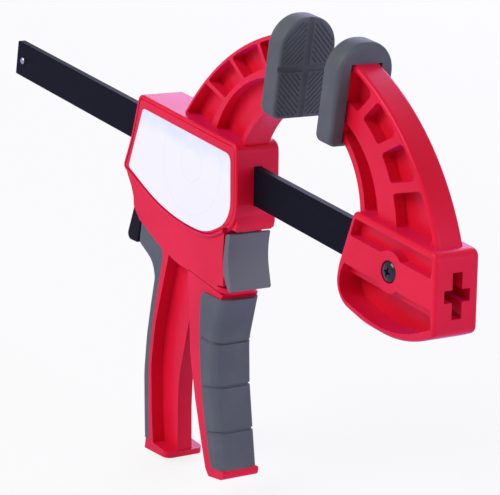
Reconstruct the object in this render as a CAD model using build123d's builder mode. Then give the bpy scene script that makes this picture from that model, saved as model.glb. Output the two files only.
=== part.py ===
from build123d import *
from math import atan2, cos, degrees, radians, sin, sqrt
from typing import NamedTuple
import os

# Quick release bar clamp, one-handed, 150 mm class. Millimetres.
# +X runs along the bar from the moving jaw to the fixed jaw, +Z is up, Y is across the bar.
# X = 0 is the clamping face of the moving jaw, Z = 0 and Y = 0 the bar's centreline.

os.makedirs("parts", exist_ok=True)

# ---- fits -------------------------------------------------------------------------------
running_fit = 0.05        # radial gap of a pin that turns
seat_gap = 0.05           # gap round a piece that is pushed home
bar_play = 0.2            # gap all round the bar where it slides
side_play = 0.4           # gap beside a piece that swings between two walls
touch_gap = 0.3           # gap to a piece that is met when something moves

# ---- bar --------------------------------------------------------------------------------
bar_length = 396.0
bar_height = 20.0
bar_thickness = 5.0
bar_edge = 0.5            # broken edges
bar_reach = 87.0          # from the fixed jaw's face to the end held in its block
stop_pin_radius = 2.0
stop_pin_stand = 1.5      # how far the stop pin stands out of each side
stop_pin_inset = 8.0      # from the free end

# ---- jaws -------------------------------------------------------------------------------
jaw_opening = 35.0        # between the two pads
arm_half_width = 8.0
arm_web = 2.0             # thickness of the wall between the pockets of the two sides
arm_flange = 2.4          # outer flange
arm_edge_round = 2.0      # of the outer flange's edges
arm_tip_height = 86.4     # of the outer arc, where the arm enters its pad
arm_tip_depth = 39.2      # from there down to the inner arc
arm_foot_height = 20.0    # at which the feet's reaches are taken
arm_foot_reach = 90.6     # of the outer arc at the foot, behind the clamping face
moving_foot_depth = 57.3  # from there in to the inner arc
fixed_foot_depth = 59.6
arm_outer_radius = 136.8
arm_inner_radius = 49.6
arm_rib_shares = (0.33, 0.57, 0.81)    # of the small ribs along the outer arc, from the foot
arm_rib_inset = 10.5      # of a small rib's middle from the outer arc

pad_half_width = 17.0
pad_rise = 10.6           # of the pad's top above the arm's tip
pad_drop = 2.2            # of the pad's bottom below it
pad_depth = 12.0
pad_skin = 4.0            # rubber in front of the arm's tip
pad_side_gap = 1.4        # beside the arm in the pad's socket
pad_crown = 16.0          # corner radius at the top
pad_corner = 5.0          # corner radius at the bottom
pad_face_round = 1.6      # rounded rims, at the face and at the back
pad_back_round = 2.4
groove_radius = 2.0
groove_depth = 1.2
groove_rise = 26.0        # of the level groove above the pad's bottom

# ---- fixed jaw block --------------------------------------------------------------------
block_half_width = 13.2
block_edge_round = 2.0
block_top = 20.0
block_bottom = 31.2       # below the bar's centreline
block_near_step = 1.3     # of the near side's top behind the arm's inner arc
block_far_step = 5.4      # of the far side's top behind the arm's outer arc
block_near_slope = 6.7    # how far the near side leans forward, from top to bottom
block_far_slope = 6.6
block_wall = 3.2
band_top = 7.4            # level band that carries the screw
band_bottom = 7.3
boss_radius = 10.3
housing_half_width = 7.7  # of the block's core round the bar
housing_bottom = 12.8
block_web = 3.0           # below the housing
socket_depth = 12.5       # of the cross-shaped socket, past the end of the bar
socket_drop = 0.6         # of its middle below the bar's
cross_slot = 6.0
cross_height = 22.0
cross_width = 15.6
jaw_screw_reach = 64.0
jaw_screw_radius = 3.0
screw_head_radius = 4.8
screw_head_height = 2.6
screw_bore_radius = 5.6   # of the counterbore round the head
screw_bore_depth = 1.6
screw_recess_length = 5.2
screw_recess_width = 1.3
screw_turn = -10.0        # degrees
nut_across_flats = 10.0
nut_height = 5.0
nut_stand = 1.0           # how far the nut stands out of the block's side

# ---- body -------------------------------------------------------------------------------
body_half_width = 13.5    # at the raised shield
skirt_half_width = 12.0
body_wall = 3.0
body_top = 22.0
body_rear_top = -125.3
body_rear_waist = (-128.9, -3.0)
body_rear_low = -134.2
body_rear_height = -22.3
body_front_top = -31.5
body_front_low = -24.0
shield_rim = 1.8          # body left round the cover
cover_ledge = 2.7         # that the cover rests on
cover_gap = 0.25
edge_round = 1.0
skirt_step = 1.0          # of the skirt's upper edges, behind the shield's
wall_seat = 2.0           # depth of a pin's seat in a wall
slot_play = 0.4           # round the release trigger's lug and tongue

# ---- label ------------------------------------------------------------------------------
label_thickness = 0.35
label_top = 15.4

# ---- trigger ----------------------------------------------------------------------------
pivot_x = -69.0
pivot_pin_radius = 4.0
fork_inner = 5.2          # from the mid plane to the fork's inner faces
fork_thickness = 3.4
fork_boss_radius = 9.0
skirt_radius = 58.0       # of the skirt's lower edge, about the pivot
skirt_clearance = 0.7
trigger_half_width = 11.5
trigger_wall = 3.0
trigger_slot_top = -78.0  # below it the core's slot is wider
trigger_bottom_wall = 3.0
grip_half_width = 12.4
grip_thickness = 3.5
grip_bite = 0.9           # how deep the grip's side flaps are let into the core
grip_corner = 5.5
grip_groove_radius = 0.8
grip_groove_run = 19.0    # length of a groove along each side
finger_hollow = 1.1
finger_radius = 52.0
bridge_top = -14.5
bridge_bottom = -21.0
bridge_rear = -83.7
bridge_front = -76.0

# ---- handle -----------------------------------------------------------------------------
flange_half_width = 12.0
web_half_width = 4.6
web_top = -40.0
foot_top = -165.0
foot_bottom_rear = -171.0
foot_bottom_front = -168.4
foot_front = -63.7
foot_rear = -86.0
foot_corner = 4.0
strap_round = 3.6

# ---- locking plates and springs ---------------------------------------------------------
plate_edge_gap = 2.0      # from a plate's edge to the wall of the cavity
plate_bottom = -24.0
drive_plate_thickness = 4.0
brake_plate_thickness = 3.0
brake_hole_height = 22.0
brake_cant = 5.0          # degrees
brake_fulcrum = (-46.0, 14.0)
brake_bottom = -28.5
brake_rib = 1.8           # width of the ribs that hold the brake plate's top
brake_rib_drop = 2.0
spring_gap = 0.15
post_width = 3.0
drive_spring_radius = 2.9
drive_spring_wire = 0.9
drive_spring_height = -17.5
drive_post_x = -108.0     # front of the drive spring's seat
brake_spring_radius = 2.4
brake_spring_wire = 0.8
brake_spring_height = -22.0
brake_post_x = -54.5      # front of the brake spring's seat

# ---- release trigger --------------------------------------------------------------------
release_half_width = 12.8
release_flap = 1.5        # thickness of its side flaps
release_wall = 3.2
release_pivot = (-36.0, -50.0)
release_pin_radius = 2.0
release_lug_half = 5.5
release_lug_radius = 4.0
tongue_half_width = 4.0
tongue_top = -25.6
tongue_bottom = -28.3
pin_end_cover = 0.5       # skin over the ends of the cross pins

# ---- rear lever -------------------------------------------------------------------------
lever_pivot = (-121.5, -28.2)
lever_half_width = 8.0
lever_boss_radius = 4.2
lever_pin_radius = 2.0
lever_front_x = -117.8
lever_knee = (-127.2, -43.5)
lever_toe = (-131.6, -63.6)
lever_spring_radius = 2.0
lever_spring_wire = 0.6
lever_spring_height = -34.0
lever_spring_seat = 5.0   # depth of its hole in the body
bay_front = -112.0

# ---- cover screws -----------------------------------------------------------------------
cover_screw_radius = 1.5
cover_screw_head = 3.0
cover_screw_head_height = 1.6
cover_screw_recess = 0.2
cover_screw_places = ((-113.0, 13.8), (-38.5, 13.6), (-99.0, -25.6))
cover_boss_radius = 3.2

# ---- worked out from the values above ---------------------------------------------------
cavity_half_width = body_half_width - body_wall
cavity_top = body_top - shield_rim - cover_ledge
fork_outer = fork_inner + fork_thickness
channel_half_width = fork_outer + side_play
pad_bottom = arm_tip_height - arm_tip_depth - pad_drop
pad_top = arm_tip_height + pad_rise
groove_height = pad_bottom + groove_rise
block_near_top = arm_foot_reach - fixed_foot_depth + block_near_step
block_far_top = arm_foot_reach + block_far_step
block_near_bottom = block_near_top - block_near_slope
block_far_bottom = block_far_top + block_far_slope
bar_front = jaw_opening + bar_reach
bar_rear = bar_front - bar_length
plate_half_width = cavity_half_width - plate_edge_gap
plate_top = cavity_top - touch_gap
release_inner = release_half_width - release_flap
pin_seat = cavity_half_width + wall_seat
cross_pin_end = skirt_half_width - pin_end_cover


class Arc(NamedTuple):
    """An arc of an arm in side view, its centre given as reach and height."""

    centre: tuple
    radius: float

    def height(self, reach):
        """Height of the arc's upper half at a reach."""
        return self.centre[1] + sqrt(self.radius**2 - (reach - self.centre[0]) ** 2)

    def reach(self, height):
        """Reach of the arc's far half at a height."""
        return self.centre[0] + sqrt(self.radius**2 - (height - self.centre[1]) ** 2)

    def turn(self, reach, height):
        """Direction of a point from the arc's centre, in degrees from straight back."""
        return degrees(atan2(height - self.centre[1], reach - self.centre[0]))

    def grown(self, amount):
        """The same arc, moved outward."""
        return Arc(self.centre, self.radius + amount)


class Arm(NamedTuple):
    """An arm's arcs, from the outside in, and the shape of its pockets."""

    outer: Arc
    rib_outer: Arc
    rib_inner: Arc
    inner: Arc
    inner_flange: float
    rib: float                # thickness of the small ribs
    rib_tilts: tuple          # of the small ribs, from straight back
    outer_corner: float       # corner radii of the pockets, at the outer flange and elsewhere
    inner_corner: float


class Jaw(NamedTuple):
    """Where a jaw's clamping face lies, which way its back points along X, and its arm."""

    face: float
    back: int
    arm: Arm

    def at(self, reach, height):
        """X and Z of a point that lies that far behind the clamping face."""
        return (self.face + self.back * reach, height)

    def polar(self, arc, inset, angle):
        """X and Z of a point inside an arc, its angle taken from straight back."""
        reach = arc.centre[0] + (arc.radius - inset) * cos(radians(angle))
        return self.at(reach, arc.centre[1] + (arc.radius - inset) * sin(radians(angle)))


def arm_arc(tip_height, foot_reach, radius):
    """The arc that bulges up and back, from a height at the pad to a reach at the foot."""
    run = foot_reach - pad_depth
    drop = tip_height - arm_foot_height
    chord = sqrt(run**2 + drop**2)
    rise = sqrt(radius**2 - chord**2 / 4)
    reach = (pad_depth + foot_reach) / 2 - rise * drop / chord
    height = (tip_height + arm_foot_height) / 2 - rise * run / chord
    return Arc((reach, height), radius)


def make_arm(foot_depth, rib_outer, rib_inner, **pockets):
    """An arm, its middle rib given as offsets from the two arcs: at the tip, at the foot, in radius."""
    inner_tip = arm_tip_height - arm_tip_depth
    inner_foot = arm_foot_reach - foot_depth
    return Arm(
        outer=arm_arc(arm_tip_height, arm_foot_reach, arm_outer_radius),
        rib_outer=arm_arc(
            arm_tip_height - rib_outer[0],
            arm_foot_reach - rib_outer[1],
            arm_outer_radius - rib_outer[2],
        ),
        rib_inner=arm_arc(
            inner_tip + rib_inner[0],
            inner_foot + rib_inner[1],
            arm_inner_radius + rib_inner[2],
        ),
        inner=arm_arc(inner_tip, inner_foot, arm_inner_radius),
        **pockets,
    )


moving_arm = make_arm(
    moving_foot_depth,
    rib_outer=(18.0, 25.9, 59.9),
    rib_inner=(14.9, 25.8, 4.3),
    inner_flange=3.0,
    rib=2.4,
    rib_tilts=(14.5, 28.9, 47.8),
    outer_corner=1.4,
    inner_corner=1.4,
)
fixed_arm = make_arm(
    fixed_foot_depth,
    rib_outer=(18.9, 31.3, 69.2),
    rib_inner=(10.0, 14.3, 6.4),
    inner_flange=3.5,
    rib=4.8,
    rib_tilts=(21.2, 34.1, 49.6),
    outer_corner=3.2,
    inner_corner=1.8,
)
moving = Jaw(0.0, -1, moving_arm)
fixed = Jaw(jaw_opening, 1, fixed_arm)
pivot = (pivot_x, 0.0)


def side_face(points, radii=0.0):
    """A closed outline in side view, with a corner radius for all or for each point."""
    with BuildSketch(Plane.XZ) as face:
        with BuildLine():
            FilletPolyline(*points, radius=radii, close=True)
        make_face()
    return face.sketch


def disc(centre, radius):
    """A round face in side view."""
    with BuildSketch(Plane.XZ) as face:
        with Locations(centre):
            Circle(radius)
    return face.sketch


def slab(face, near, far, mode=Mode.ADD):
    """Extrude a side-view face across the bar, from one Y position to another."""
    far_plane = Plane.XZ.offset(-far)
    extrude(far_plane * Plane.XZ.location.inverse() * face, amount=far - near, mode=mode)


def coil(start_x, end_x, height, radius, wire):
    """A compression spring along the bar, between two X positions."""
    length = end_x - start_x - wire - 2 * spring_gap
    turns = max(3.0, length / (2.6 * wire))
    begin = start_x + spring_gap + wire / 2
    with BuildPart() as spring:
        with BuildLine() as wind:
            Helix(length / turns, length, radius, center=(begin, 0, height), direction=(1, 0, 0))
        with BuildSketch(Plane(origin=wind.line @ 0, z_dir=wind.line % 0)):
            Circle(wire / 2)
        sweep(path=wind.line, is_frenet=True)
    return spring.part


def save(part, name):
    """Label a finished piece and write its STEP file."""
    part.label = name
    export_step(part, f"parts/{name}.step")


# ======== jaw arms =======================================================================
def arm_face(jaw, front, foot, grow=0.0):
    """Side view of an arm, between its outer and inner arcs, from a front plane to its foot."""
    outer = jaw.arm.outer.grown(grow)
    inner = jaw.arm.inner.grown(-grow)
    top, low = outer.height(front), inner.height(front)
    middle, waist = (top + foot) / 2, (low + foot) / 2
    with BuildSketch(Plane.XZ) as face:
        with BuildLine():
            ThreePointArc(
                jaw.at(outer.reach(foot), foot),
                jaw.at(outer.reach(middle), middle),
                jaw.at(front, top),
            )
            Line(jaw.at(front, top), jaw.at(front, low))
            ThreePointArc(
                jaw.at(front, low),
                jaw.at(inner.reach(waist), waist),
                jaw.at(inner.reach(foot), foot),
            )
            Line(jaw.at(inner.reach(foot), foot), jaw.at(outer.reach(foot), foot))
        make_face()
    return face.sketch


def arm_window(jaw, floor):
    """The box of side view in which an arm may have pockets."""
    size = 2 * arm_outer_radius
    near = pad_depth - 2.0
    return jaw.at(near + size / 2, floor + size / 2), size


def on_arc(jaw, arc):
    """A test for the corners of a side view that lie on one of a jaw's arcs."""
    x, z = jaw.at(*arc.centre)
    return lambda corner: abs(sqrt((corner.X - x) ** 2 + (corner.Y - z) ** 2) - arc.radius) < 0.01


def outer_pockets(jaw, floor):
    """The row of pockets between the outer flange and the middle rib."""
    window, size = arm_window(jaw, floor)
    outer, near = jaw.arm.outer, jaw.arm.rib_outer
    far = outer.grown(-arm_flange)
    foot_turn = outer.turn(arm_foot_reach, arm_foot_height)
    sweep_turn = outer.turn(pad_depth, arm_tip_height) - foot_turn
    with BuildSketch(Plane.XZ) as face:
        with Locations(jaw.at(*far.centre)):
            Circle(far.radius)
        with Locations(jaw.at(*near.centre)):
            Circle(near.radius, mode=Mode.SUBTRACT)
        for share, tilt in zip(arm_rib_shares, jaw.arm.rib_tilts):
            turn = tilt if jaw.back > 0 else 180 - tilt
            with Locations(jaw.polar(outer, arm_rib_inset, foot_turn + share * sweep_turn)):
                Rectangle(3 * arm_rib_inset, jaw.arm.rib, rotation=turn, mode=Mode.SUBTRACT)
        with Locations(window):
            Rectangle(size, size, mode=Mode.INTERSECT)
        fillet(face.vertices().filter_by(on_arc(jaw, near)), jaw.arm.inner_corner)
        fillet(face.vertices().filter_by(on_arc(jaw, far)), jaw.arm.outer_corner)
    return face.sketch


def inner_pocket(jaw, floor):
    """The long pocket between the middle rib and the inner flange."""
    window, size = arm_window(jaw, floor)
    with BuildSketch(Plane.XZ) as face:
        with Locations(jaw.at(*jaw.arm.rib_inner.centre)):
            Circle(jaw.arm.rib_inner.radius)
        with Locations(jaw.at(*jaw.arm.inner.centre)):
            Circle(jaw.arm.inner.radius + jaw.arm.inner_flange, mode=Mode.SUBTRACT)
        with Locations(window):
            Rectangle(size, size, mode=Mode.INTERSECT)
        fillet(face.vertices(), jaw.arm.inner_corner)
    return face.sketch


def both_sides(face, inner, outer, mode=Mode.SUBTRACT):
    """Extrude a side-view face on both sides of the bar, between two half widths."""
    slab(face, inner, outer, mode=mode)
    slab(face, -outer, -inner, mode=mode)


# ======== bar ============================================================================
jaw_screw_x = jaw_opening + jaw_screw_reach
stop_pin_x = bar_rear + stop_pin_inset

with BuildPart() as bar:
    with Locations(((bar_front + bar_rear) / 2, 0, 0)):
        Box(bar_length, bar_thickness, bar_height)
    chamfer(bar.edges().filter_by(Axis.X), bar_edge)
    slab(disc((stop_pin_x, 0), stop_pin_radius), -bar_thickness, bar_thickness, Mode.SUBTRACT)
    slab(disc((jaw_screw_x, 0), jaw_screw_radius + seat_gap), -bar_thickness, bar_thickness, Mode.SUBTRACT)
save(bar.part, "bar")

with BuildPart() as bar_stop_pin:
    stand = bar_thickness / 2 + stop_pin_stand
    slab(disc((stop_pin_x, 0), stop_pin_radius - seat_gap / 2), -stand, stand)
    chamfer(bar_stop_pin.edges().filter_by(GeomType.CIRCLE), 0.4)
save(bar_stop_pin.part, "bar_stop_pin")

# ======== fixed jaw ======================================================================
block_points = [
    fixed.at(block_near_top, block_top),
    fixed.at(block_near_bottom, -block_top / 2),
    fixed.at(block_near_bottom - 0.3, -block_bottom + 4.6),
    fixed.at(block_near_bottom + 25.4, -block_bottom),
    fixed.at(block_far_bottom - 21.1, -block_bottom + 0.2),
    fixed.at(block_far_bottom, -block_bottom + 12.2),
    fixed.at(block_far_top, block_top),
]
block_radii = [3.0, 30.0, 14.0, 60.0, 66.0, 4.0, 4.5]
slot_near = block_near_top + 2.0
slot_far = block_far_top - 1.8
slot_top = block_top - block_wall
mouth = bar_thickness / 2 + bar_play

with BuildPart() as fixed_jaw:
    slab(side_face(block_points, block_radii), -block_half_width, block_half_width)
    fillet(fixed_jaw.faces().filter_by(Axis.Y).edges(), block_edge_round)
    slab(arm_face(fixed, pad_skin + seat_gap, block_top - 3.0), -arm_half_width, arm_half_width)
    fixed_arm_edges = fixed_jaw.edges().filter_by(GeomType.CIRCLE).filter_by(
        lambda edge: abs(edge.radius - arm_outer_radius) < 0.5
    )
    fillet(fixed_arm_edges, arm_edge_round)
    both_sides(outer_pockets(fixed, block_top), arm_web / 2, arm_half_width)
    both_sides(inner_pocket(fixed, block_top), arm_web / 2, arm_half_width)

    upper_slot = side_face(
        [
            fixed.at(slot_near, slot_top),
            fixed.at(slot_near - 2.1, band_top),
            fixed.at(slot_far, band_top),
            fixed.at(slot_far, slot_top),
        ],
        1.2,
    )
    lower_pocket = side_face(
        [
            fixed.at(block_near_bottom + 4.8, -band_bottom),
            fixed.at(block_near_bottom + 3.0, -band_bottom - 5.7),
            fixed.at(block_near_bottom + 3.2, -block_bottom + 6.9),
            fixed.at(block_near_bottom + 29.4, -block_bottom + 2.9),
            fixed.at(block_far_bottom - 25.6, -block_bottom + 2.8),
            fixed.at(block_far_bottom - 3.0, -block_bottom + 15.4),
            fixed.at(block_far_bottom - 5.4, -band_bottom),
        ],
        [1.0, 10.0, 10.0, 50.0, 60.0, 1.0, 1.0],
    )
    with BuildSketch(Plane.XZ) as side_pockets:
        add(upper_slot)
        add(lower_pocket)
        with Locations(fixed.at(jaw_screw_reach, 0)):
            Circle(boss_radius, mode=Mode.SUBTRACT)
    both_sides(side_pockets.sketch, housing_half_width, block_half_width)
    with BuildSketch(Plane.XZ) as deep_pocket:
        add(lower_pocket)
        with Locations(fixed.at(jaw_screw_reach, -housing_bottom - block_bottom / 2)):
            Rectangle(2 * block_far_bottom, block_bottom, mode=Mode.INTERSECT)
    both_sides(deep_pocket.sketch, block_web / 2, block_half_width)

    way_start = jaw_opening + block_near_bottom - 5.0
    with Locations(((way_start + bar_front) / 2, 0, 0)):
        Box(bar_front - way_start, 2 * mouth, bar_height + 2 * bar_play, mode=Mode.SUBTRACT)
    with Locations((bar_front + socket_depth, 0, -socket_drop)):
        Box(2 * socket_depth + 1.0, cross_slot, cross_height, mode=Mode.SUBTRACT)
        Box(2 * socket_depth + 1.0, cross_width, cross_slot, mode=Mode.SUBTRACT)
    screw_way = disc((jaw_screw_x, 0), jaw_screw_radius + seat_gap)
    slab(screw_way, -block_half_width, block_half_width, Mode.SUBTRACT)
    head_seat = screw_bore_depth - block_half_width
    slab(disc((jaw_screw_x, 0), screw_bore_radius), -block_half_width, head_seat, Mode.SUBTRACT)
    nut_seat = block_half_width - nut_height + nut_stand
    with BuildSketch(Plane.XZ.offset(-block_half_width)):
        with Locations((jaw_screw_x, 0)):
            RegularPolygon(nut_across_flats / 2 + seat_gap, 6, major_radius=False)
    extrude(amount=block_half_width - nut_seat, mode=Mode.SUBTRACT)
save(fixed_jaw.part, "fixed_jaw")

with BuildPart() as jaw_screw:
    slab(disc((jaw_screw_x, 0), jaw_screw_radius), head_seat - 0.5, block_half_width + 0.5)
    slab(disc((jaw_screw_x, 0), screw_head_radius), head_seat - screw_head_height, head_seat)
    fillet(jaw_screw.edges().group_by(Axis.Y)[0], 1.4)
    with BuildSketch(Plane.XZ.offset(-(head_seat - screw_head_height))):
        with Locations((jaw_screw_x, 0)):
            Rectangle(screw_recess_length, screw_recess_width, rotation=screw_turn)
            Rectangle(screw_recess_width, screw_recess_length, rotation=screw_turn)
    extrude(amount=-2.2, taper=12, mode=Mode.SUBTRACT)
save(jaw_screw.part, "jaw_screw")

with BuildPart() as jaw_nut:
    with BuildSketch(Plane.XZ.offset(-nut_seat - nut_height)):
        with Locations((jaw_screw_x, 0)):
            RegularPolygon(nut_across_flats / 2, 6, major_radius=False)
            Circle(jaw_screw_radius + seat_gap, mode=Mode.SUBTRACT)
    extrude(amount=nut_height)
save(jaw_nut.part, "jaw_nut")


# ======== jaw pads =======================================================================
def jaw_pad(jaw, name):
    """A rubber pad: a rounded block with crossed grooves, pushed over an arm's tip."""
    height = pad_top - pad_bottom
    face_plane = Plane(
        origin=(jaw.face, 0, pad_bottom + height / 2), x_dir=(0, -jaw.back, 0), z_dir=(-jaw.back, 0, 0)
    )
    groove_x = jaw.face - jaw.back * (groove_radius - groove_depth)
    with BuildPart() as pad:
        with BuildSketch(face_plane) as outline:
            Rectangle(2 * pad_half_width, height)
            fillet(outline.vertices().group_by(Axis.Y)[-1], pad_crown)
            fillet(outline.vertices().group_by(Axis.Y)[0], pad_corner)
        extrude(amount=-pad_depth)
        faces = pad.faces().filter_by(Axis.X).sort_by(Axis.X, reverse=jaw.back < 0)
        fillet(faces[0].edges(), pad_face_round)
        fillet(pad.faces().filter_by(Axis.X).sort_by(Axis.X, reverse=jaw.back < 0)[-1].edges(), pad_back_round)
        with BuildSketch(Plane.XY.offset(pad_bottom - 1)):
            with Locations((groove_x, 0)):
                Circle(groove_radius)
        extrude(amount=height + 2, mode=Mode.SUBTRACT)
        slab(disc((groove_x, groove_height), groove_radius), -pad_half_width, pad_half_width, Mode.SUBTRACT)
        socket = arm_half_width + pad_side_gap
        slab(arm_face(jaw, pad_skin, block_top, seat_gap), -socket, socket, Mode.SUBTRACT)
    save(pad.part, name)


jaw_pad(fixed, "fixed_jaw_pad")
jaw_pad(moving, "moving_jaw_pad")

# ======== body ===========================================================================
shield_points = [
    (body_rear_top, body_top),
    body_rear_waist,
    (body_rear_low, body_rear_height),
    (-86.0, -37.2),
    (-47.0, -35.0),
    (body_front_low, -19.0),
    (body_front_top, body_top),
]
shield_radii = [4.0, 60.0, 3.4, 130.0, 34.0, 16.0, 6.0]

# the seam between the body's skirt and the handle's backstrap, from the handle to the rear
skirt_seam = [(-88.3, -59.0), (-89.4, -55.6), (-101.0, -51.4), (-114.4, -46.8)]
seam_corner = 2.0
skirt_flank = [(-121.4, -41.0), (-122.6, -36.0), (-125.7, -30.9), (-130.6, -25.6)]
skirt_start_x = -83.0
skirt_end_x = -62.0

# the seam between the handle's front flange and its backstrap, and the flange's front
strap_seam = [(-91.2, -92.0), (-91.0, -122.0), (-82.8, foot_top)]
strap_seam_radii = [90.0, 90.0, 0]
flange_front = [(-78.6, foot_top), (-83.6, -146.0), (-88.6, -121.0), (-88.6, -97.0), (-83.2, -56.4)]
flange_radii = [0, 60.0, 60.0, 60.0, 0]
web_front = [(-64.6, foot_top - 1), (-69.4, -141.0), (-71.4, -124.0), (-68.0, -90.0), (-66.0, web_top)]
web_radii = [0, 50.0, 50.0, 90.0, 0]
channel_front = -39.6
channel_rear = -89.0
web_rear = [
    (channel_rear - 1, web_top),
    (channel_rear - 1, -54.0),
    (-87.8, -60.0),
    (-89.8, -95.0),
    (-89.8, -120.0),
    (-81.0, foot_top - 1),
]

release_flap_rear = [(-32.8, -27.4), (-32.8, -41.0), (-30.4, -49.6), (-25.4, -55.8)]
nose_front = [(-36.0, -23.9), (-34.8, -33.0), (-33.3, -42.0), (-31.8, -48.0), (-31.5, -55.5)]
lip_front = -29.0
lip_top = -57.0
lip_bottom = -60.0
lip_round = 7.0


def between(first, second, share):
    """The point at a share of the way from one point to another."""
    return (first[0] + share * (second[0] - first[0]), first[1] + share * (second[1] - first[1]))


def on_skirt(x, clearance=0.0):
    """A point on the skirt's lower edge, an arc about the trigger's pivot, or clear of it."""
    radius = skirt_radius + clearance
    return (x, -sqrt(radius**2 - (x - pivot_x) ** 2))


def seam_height(x):
    """Height of the skirt's lower edge in front of the arc, where it runs straight to the lip."""
    start_x, start_z = on_skirt(skirt_end_x)
    return start_z + (lip_bottom - start_z) * (x - start_x) / (lip_front - start_x)


lip_root_x = lip_front - lip_round - 0.5


def shield(inset):
    """The raised shield's outline, drawn in by a distance."""
    with BuildSketch(Plane.XZ) as face:
        add(side_face(shield_points, shield_radii))
        if inset > 0:
            offset(amount=-inset, mode=Mode.REPLACE)
    return face.sketch


def upright(rear, bottom, front, top):
    """A rectangle in side view."""
    return side_face([(rear, bottom), (front, bottom), (front, top), (rear, top)])


with BuildSketch(Plane.XZ) as skirt:
    add(
        side_face(
            [
                on_skirt(skirt_start_x),
                *skirt_seam,
                *skirt_flank,
                (body_rear_low + skirt_step, body_rear_height),
                (body_rear_waist[0] + skirt_step, body_rear_waist[1]),
                (body_rear_top + skirt_step, body_top - skirt_step),
                (body_front_top - skirt_step, body_top - skirt_step),
                (-25.3, -19.5),
                (-26.0, nose_front[0][1]),
                *nose_front,
                (lip_root_x, lip_top + 0.5),
                (lip_root_x, seam_height(lip_root_x)),
                on_skirt(skirt_end_x),
            ],
            [0, 0, seam_corner, 0, 0, 4.0, 6.0, 8.0, 4.0, 4.0, 60.0]
            + [4.0, 6.0, 2.0, 0.5, 0, 0, 0, 2.0, 0, 0, 0, 0],
        )
    )
    with BuildLine():
        ThreePointArc(on_skirt(skirt_start_x), on_skirt(pivot_x), on_skirt(skirt_end_x))
        Line(on_skirt(skirt_end_x), on_skirt(skirt_start_x))
    make_face()

lever_bay = side_face(
    [
        (body_rear_low - 8, lever_pivot[1] + 3.6),
        (lever_pivot[0] + 2.3, lever_pivot[1] + 4.8),
        (lever_pivot[0] + 6.0, lever_pivot[1] + 0.7),
        (bay_front, -38.0),
        (bay_front, -54.0),
        (body_rear_low - 8, -54.0),
    ]
)
tongue_window = upright(channel_front - 1, tongue_bottom - 1.8, lip_front, tongue_top + 1.0)
lug_slot = upright(
    channel_front - 1,
    release_pivot[1] - release_lug_radius - 1.0,
    lip_front + 2,
    release_pivot[1] + release_lug_radius + 1.2,
)
flap_recess = side_face(
    [
        (-35.6, -23.0),
        (-35.6, -28.0),
        (-34.4, -41.0),
        (-31.4, -50.0),
        (-26.0, lip_top),
        (-18.0, lip_top),
        (-18.0, -23.0),
    ]
)
drive_post = upright(drive_post_x - post_width, -28.0, drive_post_x, drive_spring_height + 4.5)
brake_post = upright(brake_post_x - post_width, -26.5, brake_post_x, brake_spring_height + 4.5)
brake_slot = brake_plate_thickness / 2 + 2 * touch_gap
rib_low = cavity_top - brake_rib_drop
cover_screw_seat = body_half_width - cover_screw_recess - cover_screw_head_height
pillar_end = -cavity_half_width + seat_gap

lip_rear_x = lip_root_x - lip_round
with BuildPart() as lip:
    lip_face = side_face(
        [
            (lip_rear_x, seam_height(lip_rear_x)),
            (lip_front, lip_bottom),
            (lip_front, lip_top),
            (lip_rear_x, lip_top),
        ]
    )
    slab(lip_face, -skirt_half_width, skirt_half_width)
    fillet(lip.edges().filter_by(Axis.Z).group_by(Axis.X)[-1], lip_round)

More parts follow.
